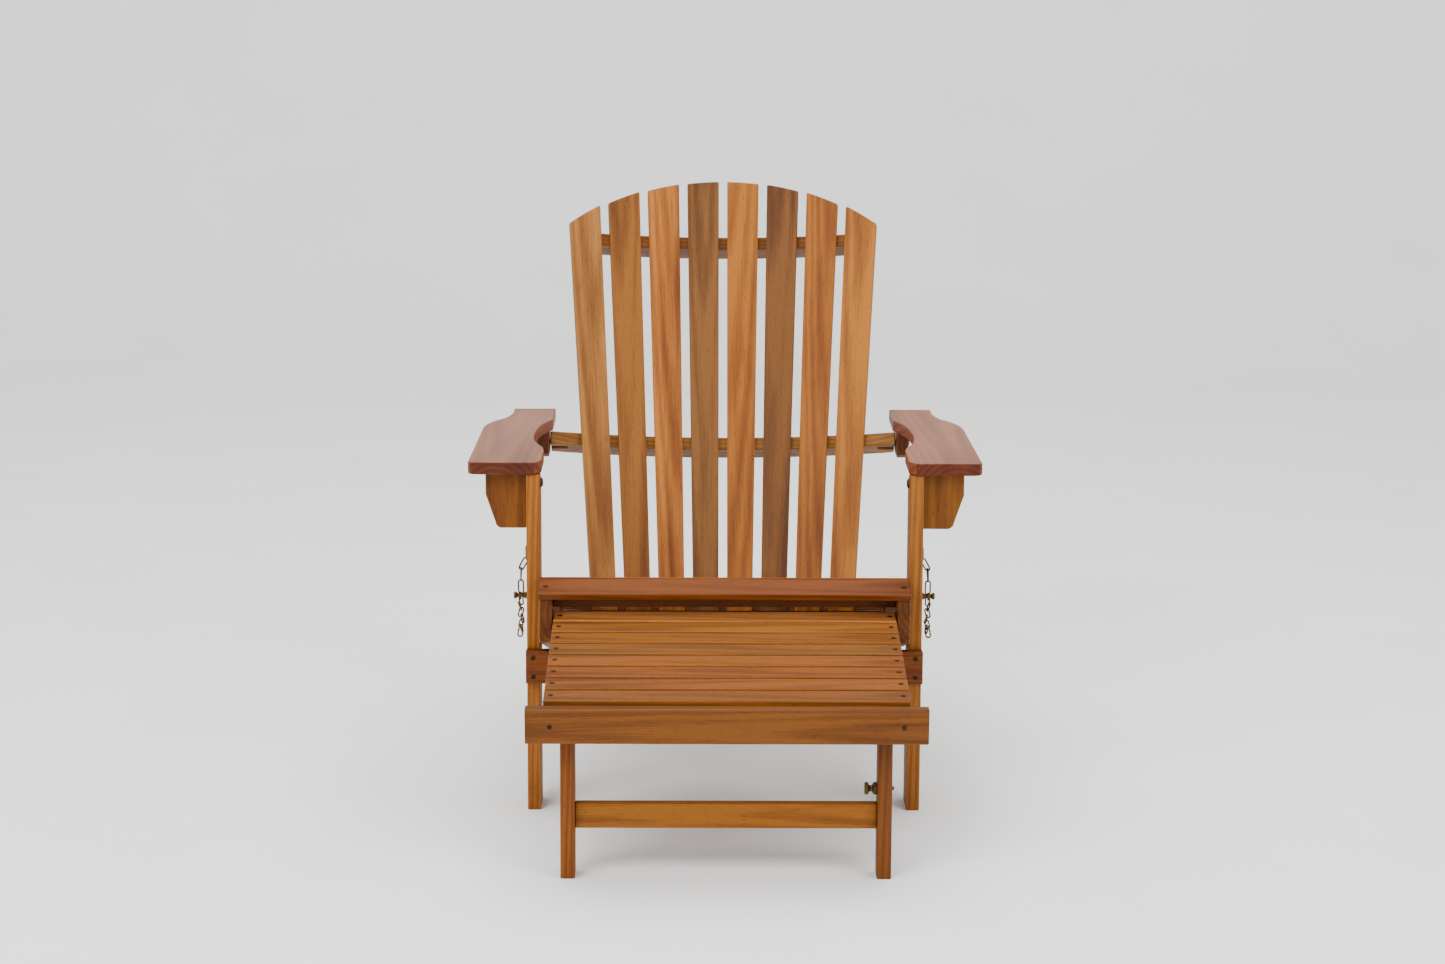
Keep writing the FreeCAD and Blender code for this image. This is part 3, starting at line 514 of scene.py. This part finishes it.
def screw_heads(name, node, body, slot, choose, material):
    """Cross-head wood screws on a node's heads, each facing the way that choose() gives."""
    r = bpy.context.scene.chair_fittings.screw_radius
    centres = heads_in(node)
    ways = np.array([OUTWARD[choose(centre)] for centre in centres])
    profile = [(-0.0012, 0.0), (-0.0012, r * 0.99), (0.0, r), (0.0003, r * 0.93),
               (0.00055, r * 0.64), (0.0006, r * 0.58), (0.0006, r * 0.36), (0.0006, 0.0)]
    points, faces = turned_piece(centres - ways * 0.0002, ways, profile, 16, cross_recess)
    piece = build(name, points, faces, material, body, slot, smooth=35)
    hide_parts(node)


# ---------------------------------------------------------------- operators

class CHAIR_OT_wood(bpy.types.Operator):
    """Finish every board in oiled acacia of its own tone and grain"""

    bl_idname = "chair.wood"
    bl_label = "Finish the boards"

    def execute(self, context):
        haze_and_sheen = context.scene.chair_finish.haze_and_sheen
        for name, facts in BOARDS.items():
            weathering_and_sheen = haze_and_sheen if name in SHEENED_AND_WEATHERED else 0.0
            material = oiled_acacia(name, *facts, weathering_and_sheen=weathering_and_sheen)
            NODES[name].material_slots[0].material = material
        return {"FINISHED"}


class CHAIR_OT_bolts(bpy.types.Operator):
    """Finish the bolts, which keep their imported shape"""

    bl_idname = "chair.bolts"
    bl_label = "Finish the bolts"

    def execute(self, context):
        steel = plated_metal("Browned steel bolts", context.scene.chair_finish.bolt,
                             "#4a3422", 0.45, 3.0)
        for name in ("arm_bolts_left", "arm_bolts_right", "back_pivot_bolts",
                     "rest_leg_bolts", "rest_guide_bolts"):
            NODES[name].material_slots[0].material = steel
        return {"FINISHED"}


class CHAIR_OT_screws(bpy.types.Operator):
    """Put cross-head screws into the seat, the crossbar, the back and the leg rest"""

    bl_idname = "chair.screws"
    bl_label = "Screws"

    def execute(self, context):
        plating = plated_metal("Yellow zinc-plated steel screws",
                               context.scene.chair_finish.screw, "#21170e", 0.45, 1.5)
        # Past the side screws' x the seat's screws are in the rails' outer faces, and in front of
        # the board screws' y the leg rest's are in its front board.
        side_screws_x, board_screws_y = 0.265, -0.59
        groups = (
            ("seat_screw_heads", "seat_screws", "seat_frame",
             lambda c: "seat" if abs(c[0]) < side_screws_x else ("+x" if c[0] > 0 else "-x")),
            ("crossbar_screw_heads", "crossbar_screws", "front_legs", lambda c: "front"),
            ("back_screw_heads", "back_screws", "back", lambda c: "back"),
            ("rest_screw_heads", "rest_screws", "leg_rest",
             lambda c: "rest_front" if c[1] < board_screws_y else "rest"),
        )
        for name, node, body, choose in groups:
            screw_heads(name, node, body, "screw_steel", choose, plating)
        return {"FINISHED"}


class CHAIR_OT_pins(bpy.types.Operator):
    """Turn the two locking pins and the leg rest's pin, with knurled flanges"""

    bl_idname = "chair.pins"
    bl_label = "Locking pins"

    def execute(self, context):
        brass = plated_metal("Turned brass, tarnished", context.scene.chair_finish.brass,
                             "#3f301c", 0.38, 2.0)
        count = context.scene.chair_fittings.knurls

        def knurl(distance, radius, angle):
            """Ridges wherever the pin is thick: the radius swells with the cosine of count *
            angle."""
            thin, ridge = 0.0041, 0.00022
            return distance, radius + np.where(radius > thin, ridge * np.cos(count * angle), 0)

        # Each pin's piece and node, the way its head faces along x, the radius of its flanges
        # and of its neck, the thickness of a flange and the length of the head.
        shank = 0.003
        for name, node, sign, wide, neck, tall, high in (
                ("locking_pin_left", "lock_pin_left", 1, 0.0048, 0.0030, 0.005, 0.020),
                ("locking_pin_right", "lock_pin_right", -1, 0.0048, 0.0030, 0.005, 0.020),
                ("rest_locking_pin", "rest_pin", -1, 0.0083, 0.0043, 0.006, 0.017)):
            low, top = (np.array(corner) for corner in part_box(node))
            middle = (low + top) / 2
            long = top[0] - low[0]
            tip = np.array([low[0] if sign > 0 else top[0], middle[1], middle[2]])
            start = long - high
            # Distance from the tip and radius: the chamfered shank, the inner flange with its
            # rounded rims, the neck, and the outer flange with its dished end.
            profile = [(0.0, 0.0), (0.0, 0.0016), (0.0014, shank), (start, shank),
                       (start, wide - 0.0006), (start + 0.0006, wide),
                       (start + tall - 0.0014, wide), (start + tall - 0.0008, wide - 0.0006),
                       (start + tall, neck + 0.0008), (start + tall + 0.001, neck),
                       (long - tall - 0.001, neck), (long - tall, neck + 0.0008),
                       (long - tall + 0.0008, wide - 0.0006), (long - tall + 0.0014, wide),
                       (long - 0.0008, wide), (long - 0.0001, wide - 0.0008),
                       (long, wide - 0.0014), (long - 0.0006, wide * 0.45), (long - 0.0006, 0.0)]
            points, faces = turned_piece(tip, unit(sign, 0, 0), profile, count * 4, knurl)
            piece = build(name, points, faces, brass, node, "brass_plate", smooth=38)
            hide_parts(node)
        return {"FINISHED"}


class CHAIR_OT_chains(bpy.types.Operator):
    """Hang a wire chain from a screw eye in each front leg to its locking pin"""

    bl_idname = "chair.chains"
    bl_label = "Tether chains"

    def execute(self, context):
        wire = context.scene.chair_fittings.wire
        plate = plated_metal("Brass-plated wire chain", context.scene.chair_finish.brass,
                             "#4a3822", 0.4, 2.5)
        out, back, up, lean_out, lean_back, turn, half, width = np.array(
            EYE_LINKS + PIN_LINKS).T[..., None]
        # Distance along the eye's stem and its radius: it starts in the wood and ends in a rim.
        stem = [(0.0, 0.0), (0.0, 0.0016), (0.0030, 0.0016), (0.0034, 0.0026), (0.0042, 0.0024),
                (0.0045, 0.0)]
        for side, label in ((1, "left"), (-1, "right")):
            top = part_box("tether_chain_" + label)[1]
            pin_low, pin_top = (np.array(corner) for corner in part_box("lock_pin_" + label))
            pin = (pin_low + pin_top) / 2
            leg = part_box("front_leg_" + label)[1 if side > 0 else 0][0]
            eye_z = top[2] - 0.0062
            hung_from = np.repeat([[eye_z], [pin[2]]], [len(EYE_LINKS), len(PIN_LINKS)], axis=0)
            centres = np.hstack([leg + side * out, pin[1] + back, hung_from + up])
            long_ways = np.hstack([side * lean_out, lean_back, np.ones(out.shape)])
            long_ways /= np.linalg.norm(long_ways, axis=1, keepdims=True)
            first, second = frames(long_ways)
            across = first * np.cos(np.radians(turn)) + second * np.sin(np.radians(turn))
            links = tubes(chain_links(centres, long_ways, across, half, width),
                          np.cross(long_ways, across), wire)
            # One ring holds the pin's neck, and a smaller one flat beside the leg is the eye.
            outer = pin_low[0] if side < 0 else pin_top[0]
            rings = tubes(np.stack([
                ring((outer - side * 0.0098, pin[1], pin[2] - 0.0006), 0.0046, 0.0050),
                ring((leg + side * 0.0018, pin[1], eye_z), 0.0038, 0.0042)]),
                np.array([unit(1, 0, 0)] * 2), wire)
            eye_stem = turned_piece(np.array([leg - side * 0.002, pin[1], eye_z + 0.0042]),
                                    unit(side, 0, 0), stem, 12)
            chain = build("chain_" + label, *joined(links, rings, eye_stem), plate, None,
                          "brass_plate", smooth=50)
            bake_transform(chain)
            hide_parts("tether_chain_" + label)
        return {"FINISHED"}


class CHAIR_OT_stage(bpy.types.Operator):
    """Set up the pale floor, the soft lights and the camera"""

    bl_idname = "chair.stage"
    bl_label = "Stage"

    def execute(self, context):
        # The floor's profile is level from its front to its bend, then follows a quarter circle
        # and goes straight up.
        front, bend, radius, height, half_width = -12.0, 4.0, 1.5, 9.0, 9.0
        angle = np.linspace(0, np.pi / 2, 24)[1:]
        y = np.concatenate([[front, bend], bend + radius * np.sin(angle), [bend + radius]])
        z = np.concatenate([[0.0, 0.0], radius - radius * np.cos(angle), [height]])
        x = np.linspace(-half_width, half_width, 3)
        points = np.stack(np.broadcast_arrays(x[None], y[:, None], z[:, None]), axis=-1)
        rows, columns = np.meshgrid(np.arange(len(y) - 1), np.arange(len(x) - 1), indexing="ij")
        first = rows * len(x) + columns
        after = first + len(x)
        faces = np.stack([first, first + 1, after + 1, after], axis=-1).reshape(-1, 4)
        mesh = bpy.data.meshes.new("studio_floor")
        mesh.from_pydata(points.reshape(-1, 3).tolist(), [], faces.tolist())
        mesh.materials.append(painted_floor())
        mesh.shade_smooth()
        floor = bpy.data.objects.new("studio_floor", mesh)
        context.scene.collection.objects.link(floor)

        world = bpy.data.worlds.new("Studio")
        world.use_nodes = True
        sky = world.node_tree.nodes["Background"]
        sky.inputs["Color"].default_value = linear("#ffffff")
        sky.inputs["Strength"].default_value = 1.0
        context.scene.world = world

        # Soft boxes: name, place, the point each faces, size and power in watts.
        for name, place, aim, wide, power in (
                ("key", (-2.2, -3.6, 3.4), (0, 0, 0.4), 2.6, 200.0),
                ("fill", (2.8, -3.4, 2.2), (0, 0, 0.4), 2.6, 115.0),
                ("top", (0.0, 0.4, 4.0), (0, 0.1, 0.0), 3.2, 130.0)):
            light = bpy.data.lights.new(name, "AREA")
            light.shape = "SQUARE"
            light.size = wide
            light.energy = power
            lamp = bpy.data.objects.new(name, light)
            way = Vector(aim) - Vector(place)
            lamp.rotation_euler = way.to_track_quat("-Z", "Y").to_euler()
            lamp.location = place
            context.scene.collection.objects.link(lamp)

        lens = bpy.data.cameras.new("camera")
        lens.sensor_width = 36.0
        lens.lens = 83.76
        camera = bpy.data.objects.new("camera", lens)
        camera.rotation_mode = "XYZ"
        camera.location = (-0.0490, -4.9784, 1.3753)
        aside, tilt, roll = (math.radians(angle) for angle in (-0.54, 79.52, 0.28))
        turn = (Matrix.Rotation(aside, 3, "Z") @ Matrix.Rotation(tilt, 3, "X")
                @ Matrix.Rotation(roll, 3, "Z"))
        camera.rotation_euler = turn.to_euler()
        context.scene.collection.objects.link(camera)
        context.scene.camera = camera
        return {"FINISHED"}


OPERATORS = (CHAIR_OT_stage, CHAIR_OT_wood, CHAIR_OT_bolts, CHAIR_OT_screws, CHAIR_OT_pins,
             CHAIR_OT_chains)


class CHAIR_PT_panel(bpy.types.Panel):
    """The chair's settings and its makers, in the 3D view's sidebar"""

    bl_idname = "CHAIR_PT_panel"
    bl_label = "Folding armchair"
    bl_space_type = "VIEW_3D"
    bl_region_type = "UI"
    bl_category = "Chair"

    def draw(self, context):
        for group in (context.scene.chair_finish, context.scene.chair_fittings):
            for name in group.bl_rna.properties.keys():
                if name not in ("rna_type", "name"):
                    self.layout.prop(group, name)
        for operator in OPERATORS:
            self.layout.operator(operator.bl_idname)


CLASSES = (CHAIR_PG_finish, CHAIR_PG_fittings, *OPERATORS, CHAIR_PT_panel)


def register():
    """Adds the classes and the scene's two groups of settings."""
    for item in CLASSES:
        bpy.utils.register_class(item)
    bpy.types.Scene.chair_finish = bpy.props.PointerProperty(type=CHAIR_PG_finish)
    bpy.types.Scene.chair_fittings = bpy.props.PointerProperty(type=CHAIR_PG_fittings)


def unregister():
    """Takes the settings and the classes away again."""
    del bpy.types.Scene.chair_fittings
    del bpy.types.Scene.chair_finish
    for item in reversed(CLASSES):
        bpy.utils.unregister_class(item)


def main():
    """Registers the add-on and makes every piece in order."""
    register()
    bpy.ops.chair.stage()
    bpy.ops.chair.wood()
    bpy.ops.chair.bolts()
    bpy.ops.chair.screws()
    bpy.ops.chair.pins()
    bpy.ops.chair.chains()


if __name__ == "__main__":
    main()
